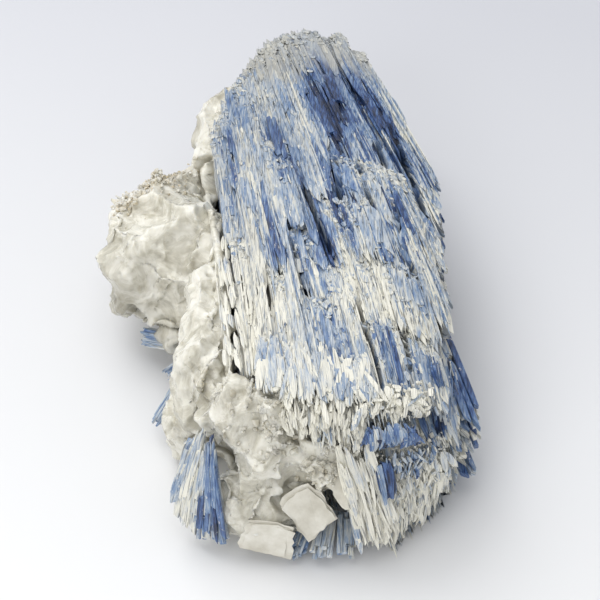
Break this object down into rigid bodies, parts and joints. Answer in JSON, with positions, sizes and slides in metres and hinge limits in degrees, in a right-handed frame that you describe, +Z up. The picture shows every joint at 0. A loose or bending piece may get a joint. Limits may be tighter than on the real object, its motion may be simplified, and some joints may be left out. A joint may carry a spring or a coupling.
{
  "type": "kyanite blade cluster",
  "caption": "Sheaf of long blue kyanite blades fanning out over a lump of milky quartz, lying on its flat underside; a mineral specimen for display.",
  "frame": {"origin": "centre of the footprint on the surface that the specimen lies on", "axes": "+Z up, +Y along the blades towards the broken far end of the sheaf, +X towards the bladed flank and away from the quartz lump"},
  "size_m": [0.0964, 0.1652, 0.0485],
  "materials": {
    "kyanite_deep": "vitreous deep-blue cleavage faces with fine lengthwise striation",
    "kyanite_mid": "vitreous mid-blue blades with paler margins and fine lengthwise striation",
    "kyanite_pale": "pearly pale grey-blue fibrous blades",
    "kyanite_cream": "cream-white mica-coated fibrous blades, dull to pearly",
    "quartz_milky": "milky, slightly translucent quartz, greasy on conchoidal breaks, with ochre grain crust in places",
    "mica_pearl": "pearly cream-white mica plates"
  },
  "bodies": {
    "root": {"top_blade_01": "kyanite_pale", "top_blade_02": "kyanite_cream", "top_blade_03": "kyanite_pale", "top_blade_04": "kyanite_pale", "top_blade_05": "kyanite_cream", "top_blade_06": "kyanite_mid", "top_blade_07": "kyanite_pale", "top_blade_08": "kyanite_mid", "top_blade_09": "kyanite_deep", "top_blade_10": "kyanite_mid", "top_blade_11": "kyanite_pale", "top_blade_12": "kyanite_mid", "top_blade_13": "kyanite_pale", "top_blade_14": "kyanite_pale", "top_blade_15": "kyanite_cream", "top_blade_16": "kyanite_mid", "top_blade_17": "kyanite_pale", "top_blade_18": "kyanite_pale", "top_blade_19": "kyanite_mid", "top_blade_20": "kyanite_deep", "top_blade_21": "kyanite_mid", "top_blade_22": "kyanite_deep", "top_blade_23": "kyanite_mid", "top_blade_24": "kyanite_pale", "top_blade_25": "kyanite_mid", "top_blade_26": "kyanite_deep", "top_blade_27": "kyanite_cream", "top_blade_28": "kyanite_pale", "top_blade_29": "kyanite_deep", "top_blade_30": "kyanite_deep", "top_blade_31": "kyanite_mid", "upper_row_blade_1": "kyanite_pale", "upper_row_blade_2": "kyanite_mid", "upper_row_blade_3": "kyanite_pale", "upper_row_blade_4": "kyanite_mid", "upper_row_blade_5": "kyanite_pale", "middle_row_blade_1": "kyanite_pale", "middle_row_blade_2": "kyanite_mid", "middle_row_blade_3": "kyanite_pale", "middle_row_blade_4": "kyanite_mid", "bottom_row_blade_1": "kyanite_pale", "bottom_row_blade_2": "kyanite_mid", "bottom_row_blade_3": "kyanite_pale", "side_fan_blade_1": "kyanite_pale", "side_fan_blade_2": "kyanite_mid", "side_fan_blade_3": "kyanite_pale", "side_fan_blade_4": "kyanite_deep", "lump_blade_1": "kyanite_deep", "lump_blade_2": "kyanite_deep", "lump_blade_3": "kyanite_deep", "lump_blade_4": "kyanite_deep", "rosette_blade_1": "kyanite_mid", "rosette_blade_2": "kyanite_mid", "rosette_blade_3": "kyanite_mid", "mica_book_1": "mica_pearl", "mica_book_2": "mica_pearl", "mica_book_3": "mica_pearl", "quartz_matrix": "quartz_milky"}
  },
  "joints": []
}
